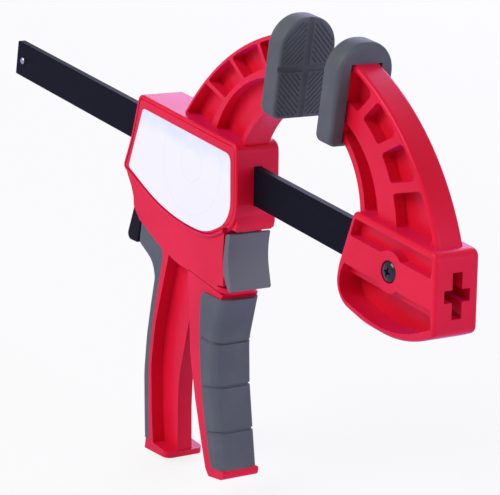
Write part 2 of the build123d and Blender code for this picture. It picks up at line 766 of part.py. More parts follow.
with BuildPart() as body_housing:
    slab(skirt.sketch, -skirt_half_width, skirt_half_width)
    add(lip.part)
    slab(shield(0), -body_half_width, body_half_width)
    fillet(body_housing.faces().sort_by(Axis.Y)[-1].outer_wire().edges(), edge_round)
    fillet(body_housing.faces().sort_by(Axis.Y)[0].outer_wire().edges(), edge_round)

    # moving jaw's arm
    slab(arm_face(moving, pad_skin + seat_gap, body_top - 3.0), -arm_half_width, arm_half_width)
    moving_arm_edges = body_housing.edges().filter_by(GeomType.CIRCLE).filter_by(
        lambda edge: abs(edge.radius - arm_outer_radius) < 0.5
    )
    fillet(moving_arm_edges, arm_edge_round)
    both_sides(outer_pockets(moving, body_top), arm_web / 2, arm_half_width)
    both_sides(inner_pocket(moving, body_top), arm_web / 2, arm_half_width)

    # mechanism cavity, the cover's seat, the trigger's channel and the rear lever's bay
    slab(shield(shield_rim + cover_ledge), -body_half_width, cavity_half_width, Mode.SUBTRACT)
    slab(shield(shield_rim), -body_half_width, -cavity_half_width, Mode.SUBTRACT)
    channel = upright(channel_rear, lip_bottom - 10, channel_front, -22.0)
    slab(channel, -channel_half_width, channel_half_width, Mode.SUBTRACT)
    bay_half_width = lever_half_width + side_play
    slab(lever_bay, -bay_half_width, bay_half_width, Mode.SUBTRACT)
    both_sides(flap_recess, release_inner - side_play, body_half_width)

    # seats of the springs, ribs of the brake plate and pillars of the cover screws
    slab(drive_post, pillar_end, cavity_half_width)
    slab(brake_post, pillar_end, cavity_half_width)
    for side in (-1, 1):
        near_x = brake_fulcrum[0] + side * brake_slot
        far_x = near_x + side * brake_rib
        rib = upright(min(near_x, far_x), rib_low, max(near_x, far_x), cavity_top + 0.5)
        slab(rib, pillar_end, cavity_half_width)
    for place in cover_screw_places:
        slab(disc(place, cover_boss_radius), pillar_end, cavity_half_width)
    for place in cover_screw_places:
        slab(disc(place, cover_screw_radius + seat_gap), pillar_end, body_half_width, Mode.SUBTRACT)
        slab(disc(place, cover_screw_head + seat_gap), cover_screw_seat, body_half_width, Mode.SUBTRACT)

    # handle: front flange, web and foot
    flange_points = [
        skirt_seam[0],
        *strap_seam,
        *flange_front,
        (channel_rear - 2, skirt_seam[2][1]),
        between(skirt_seam[1], skirt_seam[2], 0.3),
        skirt_seam[1],
    ]
    slab(
        side_face(flange_points, [0, *strap_seam_radii, *flange_radii, 0, 0, seam_corner]),
        -flange_half_width,
        flange_half_width,
    )
    slab(
        side_face(web_rear + web_front, [0] * len(web_rear) + web_radii),
        -web_half_width,
        web_half_width,
    )
    foot = side_face(
        [
            (foot_rear, foot_top),
            (foot_rear, foot_bottom_rear),
            (foot_front, foot_bottom_front),
            (foot_front, foot_top),
        ]
    )
    slab(foot, -flange_half_width, flange_half_width)
    foot_corners = body_housing.edges().filter_by(Axis.Z).filter_by_position(
        Axis.Z, foot_bottom_rear, foot_top
    ).filter_by_position(Axis.X, foot_front - 0.1, foot_front + 0.1)
    fillet(foot_corners, foot_corner)

    # the bar's way through, and the seats of the pins
    with Locations(((body_rear_low + body_front_low) / 2, 0, 0)):
        Box(
            body_front_low - body_rear_low + 20,
            bar_thickness + 2 * bar_play,
            bar_height + 2 * bar_play,
            mode=Mode.SUBTRACT,
        )
    slab(disc(pivot, pivot_pin_radius + seat_gap), cavity_half_width, pin_seat, Mode.SUBTRACT)
    tongue_slot_half = tongue_half_width + slot_play
    slab(tongue_window, -tongue_slot_half, tongue_slot_half, Mode.SUBTRACT)
    lug_slot_half = release_lug_half + slot_play
    slab(lug_slot, -lug_slot_half, lug_slot_half, Mode.SUBTRACT)
    slab(disc(release_pivot, release_pin_radius + seat_gap), -release_inner, release_inner, Mode.SUBTRACT)
    slab(disc(lever_pivot, lever_pin_radius + seat_gap), -cross_pin_end, cross_pin_end, Mode.SUBTRACT)
    with BuildSketch(Plane.YZ.offset(bay_front - 3)):
        with Locations((0, lever_spring_height)):
            Circle(lever_spring_radius + lever_spring_wire)
    extrude(amount=lever_spring_seat + 3, mode=Mode.SUBTRACT)
save(body_housing.part, "body_housing")

# ======== side cover, its screws and the bare label ======================================
with BuildPart() as side_cover:
    slab(shield(shield_rim + cover_gap), -body_half_width, -cavity_half_width)
    chamfer(side_cover.faces().sort_by(Axis.Y)[0].outer_wire().edges(), 0.6)
    for place in cover_screw_places:
        slab(disc(place, cover_screw_radius + seat_gap), -pin_seat, -cavity_half_width, Mode.SUBTRACT)
    slab(disc(pivot, pivot_pin_radius + seat_gap), -pin_seat, -cavity_half_width, Mode.SUBTRACT)
save(side_cover.part, "side_cover")

label_points = [
    (-119.4, label_top),
    (-127.6, -20.0),
    (-87.0, -34.0),
    (-50.0, -32.2),
    (-29.2, -19.0),
    (-35.8, label_top),
]
with BuildPart() as label_plate:
    label_face = side_face(label_points, [2.5, 2.0, 130.0, 34.0, 17.0, 5.0])
    slab(label_face, -body_half_width - label_thickness, -body_half_width)
save(label_plate.part, "label_plate")

with BuildPart() as cover_screws:
    for place in cover_screw_places:
        slab(disc(place, cover_screw_radius), -pin_seat + touch_gap, cover_screw_seat)
        slab(disc(place, cover_screw_head), cover_screw_seat, body_half_width - cover_screw_recess)
save(cover_screws.part, "cover_screws")

# ======== handle backstrap ===============================================================
horn_x = skirt_seam[-1][0]
strap_rear = [
    (-89.4, foot_top),
    (-92.6, -150.0),
    (-96.8, -129.0),
    (-98.0, -108.0),
    (-97.4, -90.0),
    (-96.4, -73.5),
    (-99.6, -66.4),
    (horn_x, -60.2),
]
strap_rear_radii = [0, 60.0, 60.0, 60.0, 60.0, 8.0, 12.0, 2.5]

with BuildPart() as handle_backstrap:
    slab(
        side_face(
            skirt_seam[::-1] + strap_seam + strap_rear,
            [0, 0, seam_corner, 0, *strap_seam_radii, *strap_rear_radii],
        ),
        -flange_half_width,
        flange_half_width,
    )
    strap_edges = handle_backstrap.faces().filter_by(Axis.Y).edges().filter_by(
        lambda edge: edge.center().X < -91.5 - 0.45 * max(0.0, edge.center().Z + 92.0)
        and edge.center().Z < -60.3
    )
    fillet(strap_edges, strap_round)
save(handle_backstrap.part, "handle_backstrap")

# ======== trigger: core and grip =========================================================
grip_front = [(-12.9, -154.2), (-19.3, -134.5), (-26.6, -111.5), (-31.6, -88.5), (-28.8, -63.2)]
grip_rear = [(-50.0, -64.6), (-46.6, -89.0), (-39.6, -116.0), (-30.8, -138.0), (-22.8, -155.0)]
core_front = [(x - grip_thickness, z) for x, z in grip_front]
core_rear = [(-28.6, -158.4), (-35.6, -144.4), (-45.0, -124.6), (-54.2, -101.6)]
core_top = [
    on_skirt(pivot_x + 4.3, skirt_clearance),
    on_skirt(skirt_end_x, skirt_clearance),
    (core_front[-1][0] + 0.6, lip_bottom - skirt_clearance),
]
core_cap = [(-12.0, -153.8), (-12.4, -158.7), (-25.0, -161.6)]

core_face = side_face(
    core_top + core_front[::-1] + core_cap + core_rear,
    [0, 0, 0, 0, 30, 60, 60, 0, 1.5, 2.0, 1.5, 3.0, 60, 60, 30],
)
grip_face = side_face(grip_front + grip_rear, [0, 60, 60, 30, 0, 3.5, 40, 60, 60, 2.0])
inside_front = [(x - trigger_wall, z) for x, z in core_front]
slot_low = (inside_front[0][0] + 0.6, core_cap[-1][1] + trigger_bottom_wall + 1.0)
behind = pivot_x - 40.0
core_slot = side_face(
    [(behind, lip_bottom + 10), (inside_front[-1][0], lip_bottom + 10)]
    + inside_front[::-1]
    + [slot_low, (behind, slot_low[1])]
)
core_slot_low = side_face(
    [(behind, trigger_slot_top), (inside_front[3][0] + 1.1, trigger_slot_top)]
    + inside_front[3::-1]
    + [slot_low, (behind, slot_low[1])]
)
fork_face = side_face(
    [
        (pivot_x - 8.0, 0.0),
        (bridge_rear + 1.5, bridge_top),
        (bridge_rear + 1.5, bridge_bottom),
        (pivot_x - 8.0, -40.0),
        (pivot_x + 1.5, -57.0),
        (pivot_x + 7.5, trigger_slot_top + 2),
        (channel_front - 1.0, trigger_slot_top + 2),
        (channel_front - 0.6, lip_bottom + 1.5),
        (pivot_x + 9.0, -38.0),
        (pivot_x + 8.5, 0.0),
    ]
)
bridge_face = side_face(
    [
        (bridge_rear, bridge_bottom),
        (bridge_front, bridge_bottom),
        (bridge_front, bridge_top),
        (bridge_rear, bridge_top),
    ],
    0.8,
)

with BuildPart() as trigger_core:
    slab(core_face, -trigger_half_width, trigger_half_width)
    slab(core_slot, -fork_inner, fork_inner, Mode.SUBTRACT)
    low_half_width = trigger_half_width - trigger_wall
    slab(core_slot_low, -low_half_width, low_half_width, Mode.SUBTRACT)
    both_sides(grip_face, trigger_half_width - grip_bite, grip_half_width)
    both_sides(fork_face, fork_inner, fork_outer, Mode.ADD)
    both_sides(disc(pivot, fork_boss_radius), fork_inner, fork_outer, Mode.ADD)
    slab(bridge_face, -fork_inner - 1, fork_inner + 1)
    both_sides(disc(pivot, pivot_pin_radius + running_fit), fork_inner - 1, fork_outer + 1)
save(trigger_core.part, "trigger_core")


def outward(first, second):
    """The middle of a stretch of the trigger's front, and the unit normal that points forward."""
    dx, dz = second[0] - first[0], second[1] - first[1]
    length = sqrt(dx**2 + dz**2)
    middle = ((first[0] + second[0]) / 2, (first[1] + second[1]) / 2)
    return middle, (dz / length, -dx / length)


def front_x(height):
    """X of the trigger's straight front stretches at a height."""
    for lower, upper in zip(grip_front, grip_front[1:]):
        if height <= upper[1]:
            break
    return lower[0] + (upper[0] - lower[0]) * (height - lower[1]) / (upper[1] - lower[1])


def groove_path(place, along):
    """A path round the grip's front at one place, level across it and square to its front line."""
    x, z = place
    back = (x - grip_groove_run * along[0], z - grip_groove_run * along[1])
    return FilletPolyline(
        (back[0], -grip_half_width, back[1]),
        (x, -grip_half_width, z),
        (x, grip_half_width, z),
        (back[0], grip_half_width, back[1]),
        radius=grip_corner,
    )


with BuildPart() as trigger_grip:
    slab(grip_face, -grip_half_width, grip_half_width)
    corner_edges = trigger_grip.faces().filter_by(Axis.Y).edges().filter_by(
        lambda edge: abs(edge.center().X - front_x(edge.center().Z)) < grip_thickness
        and grip_front[0][1] + 1 < edge.center().Z < grip_front[-1][1] - 1
    )
    fillet(corner_edges, grip_corner)
    for first, second in zip(grip_front, grip_front[1:]):
        middle, normal = outward(first, second)
        away = finger_radius - finger_hollow
        centre = (middle[0] + away * normal[0], middle[1] + away * normal[1])
        slab(disc(centre, finger_radius), -grip_half_width, grip_half_width, Mode.SUBTRACT)
    for first, place, second in zip(grip_front, grip_front[1:], grip_front[2:]):
        with BuildLine() as groove:
            groove_path(place, outward(first, second)[1])
        with BuildSketch(Plane(origin=groove.line @ 0, z_dir=groove.line % 0)):
            Circle(grip_groove_radius)
        sweep(path=groove.line, mode=Mode.SUBTRACT)
    core_half_width = trigger_half_width - grip_bite
    slab(core_face, -core_half_width, core_half_width, Mode.SUBTRACT)
save(trigger_grip.part, "trigger_grip")

with BuildPart() as trigger_pivot_pins:
    pin_inner_end = fork_inner - 1.2
    both_sides(disc(pivot, pivot_pin_radius), pin_inner_end, pin_seat - seat_gap, Mode.ADD)
    chamfer(trigger_pivot_pins.edges().filter_by(GeomType.CIRCLE), 0.4)
save(trigger_pivot_pins.part, "trigger_pivot_pins")

# ======== locking plates =================================================================
hole_width = bar_thickness + 2 * bar_play + 0.4
drive_plate_rear = bridge_rear - touch_gap - drive_plate_thickness

with BuildPart() as drive_plate:
    with BuildSketch(Plane.YZ.offset(drive_plate_rear)) as plate:
        with Locations((0, (plate_top + plate_bottom) / 2)):
            Rectangle(2 * plate_half_width, plate_top - plate_bottom)
        fillet(plate.vertices(), 2.0)
        Rectangle(hole_width, bar_height + 4 * bar_play, mode=Mode.SUBTRACT)
    extrude(amount=drive_plate_thickness)
save(drive_plate.part, "drive_plate")

lean = radians(brake_cant)
brake_plane = Plane(
    origin=(brake_fulcrum[0], 0, brake_fulcrum[1]), x_dir=(0, 1, 0), z_dir=(cos(lean), 0, sin(lean))
)
brake_over = plate_top - brake_fulcrum[1]
brake_under = (brake_fulcrum[1] - brake_bottom) / cos(lean)
with BuildPart() as brake_plate:
    with BuildSketch(brake_plane) as plate:
        with Locations((0, (brake_over - brake_under) / 2)):
            Rectangle(2 * plate_half_width, brake_over + brake_under)
        fillet(plate.vertices(), 1.5)
        with Locations((0, -brake_fulcrum[1] / cos(lean))):
            Rectangle(hole_width, brake_hole_height, mode=Mode.SUBTRACT)
    extrude(amount=brake_plate_thickness / 2, both=True)
save(brake_plate.part, "brake_plate")


def brake_face_x(height, side):
    """X of the brake plate's front (side 1) or rear (side -1) face at a height."""
    along = (brake_fulcrum[1] - height) * sin(lean) / cos(lean)
    return brake_fulcrum[0] + along + side * brake_plate_thickness / 2 / cos(lean)


save(
    coil(drive_post_x, drive_plate_rear, drive_spring_height, drive_spring_radius, drive_spring_wire),
    "drive_spring",
)
brake_spring_end = brake_face_x(brake_spring_height + brake_spring_radius, -1)
save(
    coil(brake_post_x, brake_spring_end, brake_spring_height, brake_spring_radius, brake_spring_wire),
    "brake_spring",
)

# ======== release trigger ================================================================
release_top = -25.3
release_front = [(-29.0, release_top), (-29.8, -37.5), (-22.8, -54.6)]
release_face = side_face(
    release_front + [(-23.6, -56.2)] + release_flap_rear[::-1],
    [1.0, 40.0, 0.8, 0.8, 1.5, 7.0, 8.0, 1.0],
)
release_inside = side_face(
    [
        (release_front[0][0] - release_wall, release_top + 3),
        (release_front[1][0] - release_wall, release_front[1][1]),
        (-28.4, -51.0),
        (-29.4, lip_bottom),
        (channel_front, lip_bottom),
        (channel_front, release_top + 3),
    ],
    [0, 30.0, 1.0, 0, 0, 0],
)
lug_face = side_face(
    [
        release_pivot,
        (release_pivot[0], release_pivot[1] + release_lug_radius),
        (-30.4, -45.6),
        (-27.4, -52.0),
        (release_pivot[0], release_pivot[1] - release_lug_radius),
    ]
)
tongue_rear = brake_face_x(tongue_bottom, 1) + touch_gap
tongue_face = upright(tongue_rear, tongue_bottom, release_front[0][0] - release_wall / 2, tongue_top)

with BuildPart() as release_trigger:
    slab(release_face, -release_half_width, release_half_width)
    slab(release_inside, -release_inner, release_inner, Mode.SUBTRACT)
    slab(disc(release_pivot, release_lug_radius), -release_lug_half, release_lug_half)
    slab(lug_face, -release_lug_half, release_lug_half)
    slab(tongue_face, -tongue_half_width, tongue_half_width)
    pin_bore = disc(release_pivot, release_pin_radius + running_fit)
    slab(pin_bore, -release_lug_half, release_lug_half, Mode.SUBTRACT)
save(release_trigger.part, "release_trigger")


def cross_pin(centre, radius, end):
    """A plain pin across the body, its ends seated in both side walls."""
    with BuildPart() as pin:
        slab(disc(centre, radius), -end, end)
        chamfer(pin.edges().filter_by(GeomType.CIRCLE), 0.3)
    return pin.part


save(cross_pin(release_pivot, release_pin_radius, release_inner - side_play), "release_pin")
save(cross_pin(lever_pivot, lever_pin_radius, cross_pin_end - seat_gap), "rear_lever_pin")

# ======== rear lever =====================================================================
lever_face = side_face(
    [
        (lever_pivot[0] - 3.6, lever_pivot[1] + 1.0),
        (lever_front_x, lever_pivot[1] + 0.5),
        (lever_front_x, -44.0),
        (lever_toe[0] + 11.4, lever_toe[1] + 1.0),
        lever_toe,
        lever_knee,
    ],
    [0, 0, 10.0, 1.5, 3.5, 20.0],
)
with BuildPart() as rear_lever:
    slab(lever_face, -lever_half_width, lever_half_width)
    slab(disc(lever_pivot, lever_boss_radius), -lever_half_width, lever_half_width)
    fillet(rear_lever.faces().filter_by(Axis.Y).edges().filter_by(lambda e: e.center().Z < -40), 0.8)
    pin_bore = disc(lever_pivot, lever_pin_radius + running_fit)
    slab(pin_bore, -lever_half_width, lever_half_width, Mode.SUBTRACT)
save(rear_lever.part, "rear_lever")

lever_spring_end = bay_front + lever_spring_seat
save(
    coil(lever_front_x, lever_spring_end, lever_spring_height, lever_spring_radius, lever_spring_wire),
    "rear_lever_spring",
)
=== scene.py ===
"""Looks of a one-handed quick release bar clamp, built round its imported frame."""

from __future__ import annotations

import logging
import math
from collections.abc import Callable, Iterable, Sequence
from dataclasses import dataclass, field
from enum import Enum

import bmesh
import bpy
from mathutils import Matrix, Vector


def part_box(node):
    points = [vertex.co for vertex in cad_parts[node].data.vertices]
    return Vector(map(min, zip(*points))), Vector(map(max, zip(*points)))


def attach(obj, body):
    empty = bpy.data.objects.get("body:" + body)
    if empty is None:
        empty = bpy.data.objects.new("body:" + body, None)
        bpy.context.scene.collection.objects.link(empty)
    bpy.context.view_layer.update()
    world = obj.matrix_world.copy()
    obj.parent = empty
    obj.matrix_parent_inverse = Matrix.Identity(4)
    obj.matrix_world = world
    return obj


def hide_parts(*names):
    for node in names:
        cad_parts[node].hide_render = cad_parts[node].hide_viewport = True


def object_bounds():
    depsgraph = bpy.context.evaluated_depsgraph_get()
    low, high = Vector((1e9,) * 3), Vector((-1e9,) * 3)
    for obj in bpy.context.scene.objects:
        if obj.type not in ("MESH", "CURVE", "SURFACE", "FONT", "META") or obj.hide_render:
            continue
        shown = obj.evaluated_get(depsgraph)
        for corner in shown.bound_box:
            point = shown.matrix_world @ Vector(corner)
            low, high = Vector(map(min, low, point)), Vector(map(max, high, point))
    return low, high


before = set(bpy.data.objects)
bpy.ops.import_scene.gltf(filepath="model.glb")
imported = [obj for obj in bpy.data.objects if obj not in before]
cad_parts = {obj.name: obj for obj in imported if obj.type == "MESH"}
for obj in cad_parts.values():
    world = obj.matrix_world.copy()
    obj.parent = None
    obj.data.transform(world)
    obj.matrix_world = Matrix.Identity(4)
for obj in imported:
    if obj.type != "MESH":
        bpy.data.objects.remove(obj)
cad_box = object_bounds()

MM = 0.001
FACING = 0.9  # how far along an axis the normal of a face that faces it points
WHITE = (1.0, 1.0, 1.0)
Colour = tuple[float, float, float]
Edges = tuple[float, float]
Point = tuple[float, float, float]
log = logging.getLogger("bar_clamp")


class Slot(Enum):
    """The record's material slots."""

    RED = "red_plastic"
    GRIP = "grip_rubber"
    PAD = "pad_rubber"
    GREY = "grey_plastic"
    BLACK = "black_plastic"
    BAR = "bar_steel"
    SCREW = "black_screw"
    STEEL = "plain_steel"
    ZINC = "zinc_steel"
    LABEL = "label_white"


class Body(Enum):
    """The rigid bodies that the new pieces ride on."""

    FRAME = "body"
    JAW = "bar_and_fixed_jaw"


# ---- shader sums ------------------------------------------------------------------------
class Value:
    """A number in a shader. Sums and products on it add Math nodes."""

    def __init__(self, recipe: Recipe, socket: bpy.types.NodeSocket) -> None:
        """Wrap one output socket of a recipe's node tree."""
        self.recipe = recipe
        self.socket = socket

    def _math(self, operation: str, first: Number, second: Number) -> Value:
        """Add one Math node and return its result."""
        node = self.recipe.node("ShaderNodeMath", {"operation": operation}, {0: first, 1: second})
        return Value(self.recipe, node.outputs[0])

    def __add__(self, other: Number) -> Value:
        """Sum."""
        return self._math("ADD", self, other)

    def __radd__(self, other: Number) -> Value:
        """Sum, the other way round."""
        return self._math("ADD", other, self)

    def __sub__(self, other: Number) -> Value:
        """Difference."""
        return self._math("SUBTRACT", self, other)

    def __rsub__(self, other: Number) -> Value:
        """Difference, the other way round."""
        return self._math("SUBTRACT", other, self)

    def __mul__(self, other: Number) -> Value:
        """Product."""
        return self._math("MULTIPLY", self, other)

    def __rmul__(self, other: Number) -> Value:
        """Product, the other way round."""
        return self._math("MULTIPLY", other, self)

    def __truediv__(self, other: Number) -> Value:
        """Quotient."""
        return self._math("DIVIDE", self, other)

    def rise(self, low: float, high: float) -> Value:
        """Step smoothly from 0 to 1.

        Args:
            low: the value where the step starts.
            high: the value where it ends.

        Returns:
            The step.
        """
        limits = {"From Min": low, "From Max": high}
        node = self.recipe.node(
            "ShaderNodeMapRange", {"interpolation_type": "SMOOTHSTEP"}, {"Value": self, **limits}
        )
        return Value(self.recipe, node.outputs["Result"])

    def swing(self, amount: float) -> Value:
        """Turn a noise about its middle of 0.5 into a swing about 0."""
        return (self - 0.5) * amount


Number = float | Value


class Recipe:
    """One material's node tree while it is being put together."""

    def __init__(self, name: str) -> None:
        """Start a material that holds a Principled shader and its output.

        Args:
            name: the material's name.
        """
        self.material = bpy.data.materials.new(name)
        self.material.use_nodes = True
        self.tree = self.material.node_tree
        self.tree.nodes.clear()
        self.shader = self.node("ShaderNodeBsdfPrincipled")
        self.output = self.node("ShaderNodeOutputMaterial", None, {"Surface": self.shader.outputs["BSDF"]})
        self.place = self.node("ShaderNodeTexCoord").outputs["Object"]

    def node(self, kind: str, settings: dict | None = None, inputs: dict | None = None) -> bpy.types.Node:
        """Add a node.

        Args:
            kind: the node's type.
            settings: attributes, set before the inputs.
            inputs: by name or number, a plain value, a socket to link or a Value.

        Returns:
            The new node.
        """
        node = self.tree.nodes.new(kind)
        for key, setting in (settings or {}).items():
            setattr(node, key, setting)
        for key, given in (inputs or {}).items():
            self.feed(node.inputs[key], given)
        return node

    def feed(self, socket: bpy.types.NodeSocket, given: object) -> None:
        """Link or set one input socket.

        Args:
            socket: the input.
            given: a plain value, a socket or a Value; a colour may leave out its alpha.
        """
        source = given.socket if isinstance(given, Value) else given
        if isinstance(source, bpy.types.NodeSocket):
            self.tree.links.new(source, socket)
        elif isinstance(source, tuple) and len(socket.default_value) > len(source):
            socket.default_value = (*source, 1.0)
        else:
            socket.default_value = source

    def stretched(self, scale: Point) -> bpy.types.NodeSocket:
        """Object coordinates, scaled by axis."""
        return self.node("ShaderNodeMapping", None, {"Vector": self.place, "Scale": scale}).outputs[0]

    def noise(self, scale: float, detail: float, place: bpy.types.NodeSocket | None = None) -> Value:
        """Make fractal noise.

        Args:
            scale: cycles a metre.
            detail: how many finer layers it has.
            place: the coordinates, if not the object's own.

        Returns:
            The noise, from 0 to 1.
        """
        inputs = {"Vector": place or self.place, "Scale": scale, "Detail": detail}
        return Value(self, self.node("ShaderNodeTexNoise", None, inputs).outputs["Fac"])

    def axis(self, letter: str) -> Value:
        """One of the object coordinates, in metres."""
        split = self.node("ShaderNodeSeparateXYZ", None, {0: self.place})
        return Value(self, split.outputs[letter])

    def vector(self, operation: str, first: object, second: object) -> bpy.types.NodeSocket:
        """Work out a vector from two."""
        return self.node("ShaderNodeVectorMath", {"operation": operation}, {0: first, 1: second}).outputs[0]

    def mix(self, share: Number, first: object, second: object) -> bpy.types.NodeSocket:
        """Blend two colours."""
        node = self.node("ShaderNodeMix", {"data_type": "RGBA"}, {0: share, 6: first, 7: second})
        return node.outputs[2]

    def bump(self, height: Value, depth: float) -> None:
        """Raise the surface by a height from 0 to 1 times a depth in metres."""
        node = self.node("ShaderNodeBump", None, {"Strength": 1.0, "Distance": depth, "Height": height})
        self.feed(self.shader.inputs["Normal"], node.outputs["Normal"])

    def set(self, **values: object) -> None:
        """Set or link the shader's sockets, named with underscores for spaces."""
        for key, given in values.items():
            self.feed(self.shader.inputs[key.replace("_", " ")], given)


# ---- finishes ---------------------------------------------------------------------------
@dataclass(frozen=True)
class MouldedPlastic:
    """Injection moulded plastic: a faint flow in its colour and a fine orange peel."""

    name: str
    colour: Colour
    shade: Colour
    roughness: float
    sheen: float = 0.0
    sheen_tint: Colour = WHITE
    sheen_roughness: float = 0.35
    coat: float = 0.0
    coat_roughness: float = 0.12
    specular: float = 0.5
    specular_tint: Colour = WHITE
    flow_scale: float = 26.0
    flow_edges: Edges = (0.3, 0.7)
    flow_swing: float = 0.08
    peel_scale: float = 1400.0
    peel_swing: float = 0.10
    peel_depth: float = 0.02 * MM

    def build(self) -> bpy.types.Material:
        """Make the finish.

        Returns:
            Its material.
        """
        recipe = Recipe(self.name)
        flow = recipe.noise(self.flow_scale, detail=4.0)
        peel = recipe.noise(self.peel_scale, detail=2.0)
        recipe.set(
            Base_Color=recipe.mix(flow.rise(*self.flow_edges), self.shade, self.colour),
            Roughness=self.roughness + peel.swing(self.peel_swing) + flow.swing(self.flow_swing),
            Sheen_Weight=self.sheen,
            Sheen_Tint=self.sheen_tint,
            Sheen_Roughness=self.sheen_roughness,
            Coat_Weight=self.coat,
            Coat_Roughness=self.coat_roughness,
            Specular_IOR_Level=self.specular,
            Specular_Tint=self.specular_tint,
        )
        recipe.bump(peel, self.peel_depth)
        return recipe.material


@dataclass(frozen=True)
class Rubber:
    """Matt moulded rubber with a fine eroded texture and a dusty bloom."""

    name: str
    colour: Colour
    bloom: Colour
    roughness: float = 0.62
    sheen: float = 0.12
    sheen_tint: Colour = (0.75, 0.80, 1.0)
    sheen_roughness: float = 0.4
    cloud_scale: float = 60.0
    cloud_edges: Edges = (0.35, 0.75)
    cloud_share: float = 0.6
    speck_scale: float = 2200.0
    speck_edges: Edges = (0.55, 0.75)
    speck_swing: float = 0.16
    cloud_height: float = 0.5
    grain_depth: float = 0.06 * MM

    def build(self) -> bpy.types.Material:
        """Make the finish.

        Returns:
            Its material.
        """
        recipe = Recipe(self.name)
        cloud = recipe.noise(self.cloud_scale, detail=5.0)
        speck = recipe.noise(self.speck_scale, detail=3.0)
        clouds = cloud.rise(*self.cloud_edges) * self.cloud_share
        dust = clouds + speck.rise(*self.speck_edges) * (1.0 - self.cloud_share)
        recipe.set(
            Base_Color=recipe.mix(dust, self.colour, self.bloom),
            Roughness=self.roughness + speck.swing(self.speck_swing),
            Sheen_Weight=self.sheen,
            Sheen_Tint=self.sheen_tint,
            Sheen_Roughness=self.sheen_roughness,
        )
        recipe.bump(speck + cloud * self.cloud_height, self.grain_depth)
        return recipe.material


@dataclass(frozen=True)
class DrawnSteel:
    """Steel with fine lines along the bar: bare, or under a dark coat."""

    name: str
    colour: Colour
    worn: Colour
    metallic: float
    roughness: float
    specular: float = 0.5
    line_scale: Point = (30.0, 1800.0, 1800.0)
    line_edges: Edges = (0.5, 0.8)
    line_swing: float = 0.18
    line_depth: float = 0.02 * MM
    cloud_scale: float = 45.0
    cloud_edges: Edges = (0.45, 0.7)
    cloud_swing: float = 0.10

    def build(self) -> bpy.types.Material:
        """Make the finish.

        Returns:
            Its material.
        """
        recipe = Recipe(self.name)
        lines = recipe.noise(1.0, detail=5.0, place=recipe.stretched(self.line_scale))
        cloud = recipe.noise(self.cloud_scale, detail=5.0)
        wear = lines.rise(*self.line_edges) * cloud.rise(*self.cloud_edges)
        recipe.set(
            Base_Color=recipe.mix(wear, self.colour, self.worn),
            Metallic=self.metallic,
            Roughness=self.roughness + lines.swing(self.line_swing) + cloud.swing(self.cloud_swing),
            Specular_IOR_Level=self.specular,
        )
        recipe.bump(lines, self.line_depth)
        return recipe.material


@dataclass(frozen=True)
class BareLabel:
    """A bare white film with painted bluish light towards its top, and faint rings about the trigger's
    pivot.
    """

    name: str
    white: Colour
    blue: Colour
    pivot: Point
    top: float
    rings: tuple[float, ...]
    ring_width: float = 0.35 * MM
    ring_share: float = 0.35
    painted_top_light_edges: Edges = (0.2, 1.1)
    painted_top_light_share: float = 0.8
    cloud_scale: float = 55.0
    cloud_edges: Edges = (0.25, 0.7)
    roughness: float = 0.32
    roughness_swing: float = 0.08
    coat: float = 0.35
    coat_roughness: float = 0.15
    grain_scale: float = 700.0
    grain_depth: float = 0.01 * MM

    def build(self) -> bpy.types.Material:
        """Make the finish.

        Returns:
            Its material.
        """
        recipe = Recipe(self.name)
        cloud = recipe.noise(self.cloud_scale, detail=4.0)
        # Painted bluish light: the white film is blended towards blue higher up the label, broken up by the
        # cloud noise.
        painted_top_light = (recipe.axis("Z") / self.top).rise(*self.painted_top_light_edges) * cloud.rise(*self.cloud_edges)
        marks = self._rings(recipe)
        tint = painted_top_light * self.painted_top_light_share + marks * self.ring_share
        recipe.set(
            Base_Color=recipe.mix(tint, self.white, self.blue),
            Roughness=self.roughness + cloud.swing(self.roughness_swing),
            Coat_Weight=self.coat,
            Coat_Roughness=self.coat_roughness,
        )
        recipe.bump(recipe.noise(self.grain_scale, detail=2.0), self.grain_depth)
        return recipe.material

    def _rings(self, recipe: Recipe) -> Value:
        """Draw the rings.

        Args:
            recipe: the label's recipe.

        Returns:
            A mask that is 1 on every ring.
        """
        away = recipe.vector("SUBTRACT", recipe.place, self.pivot)
        flat = recipe.vector("MULTIPLY", away, (1.0, 0.0, 1.0))
        length = recipe.node("ShaderNodeVectorMath", {"operation": "LENGTH"}, {0: flat})
        radius = Value(recipe, length.outputs["Value"])
        marks = []
        for ring in self.rings:
            inside = radius.rise(ring - self.ring_width, ring)
            outside = radius.rise(ring, ring + self.ring_width)
            marks.append(inside * (1.0 - outside))
        return sum(marks)


